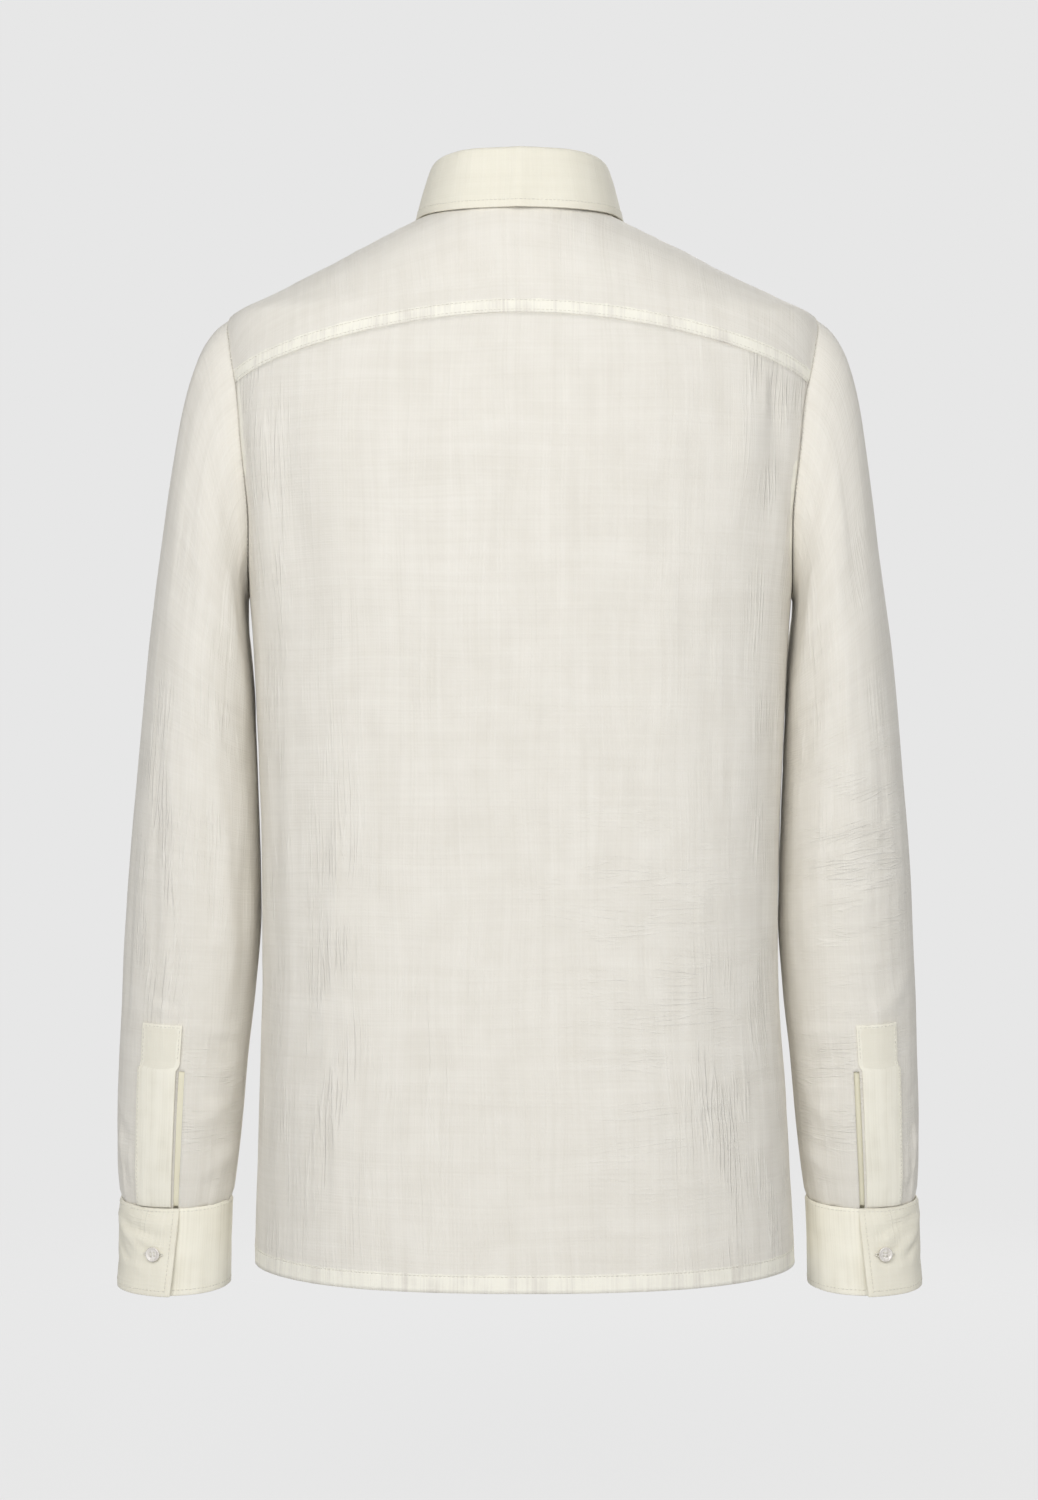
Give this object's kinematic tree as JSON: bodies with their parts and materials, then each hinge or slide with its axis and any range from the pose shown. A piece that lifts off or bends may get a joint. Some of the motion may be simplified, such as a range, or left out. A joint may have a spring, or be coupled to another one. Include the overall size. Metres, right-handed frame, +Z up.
{
  "type": "long-sleeved gauze shirt, filled out with nobody in it",
  "caption": "Long-sleeved button shirt of crinkled gauze with turned-down collar, shaped back yoke and buttoned cuffs, hollow as if worn.",
  "frame": {"origin": "middle of the neck opening, level with the neck seam at the shoulders", "axes": "+Z up, -Y out of the chest, +X to the wearer's left"},
  "size_m": [0.557, 0.2556, 0.7796],
  "materials": {
    "gauze": "matte",
    "doubled_gauze": "matte",
    "button": "satin"
  },
  "bodies": {
    "root": {"back": "gauze", "yoke": "gauze", "front_left": "gauze", "front_right": "gauze", "sleeve_left": "gauze", "sleeve_right": "gauze", "collar_stand": "doubled_gauze", "collar_fall": "doubled_gauze", "cuff_left": "doubled_gauze", "cuff_right": "doubled_gauze", "placket_left": "doubled_gauze", "placket_right": "doubled_gauze", "underlap_left": "doubled_gauze", "underlap_right": "doubled_gauze", "button_stand": "button", "button_front_1": "button", "button_front_2": "button", "button_front_3": "button", "button_front_4": "button", "button_front_5": "button", "button_front_6": "button", "button_cuff_left": "button", "button_cuff_right": "button"}
  },
  "joints": []
}
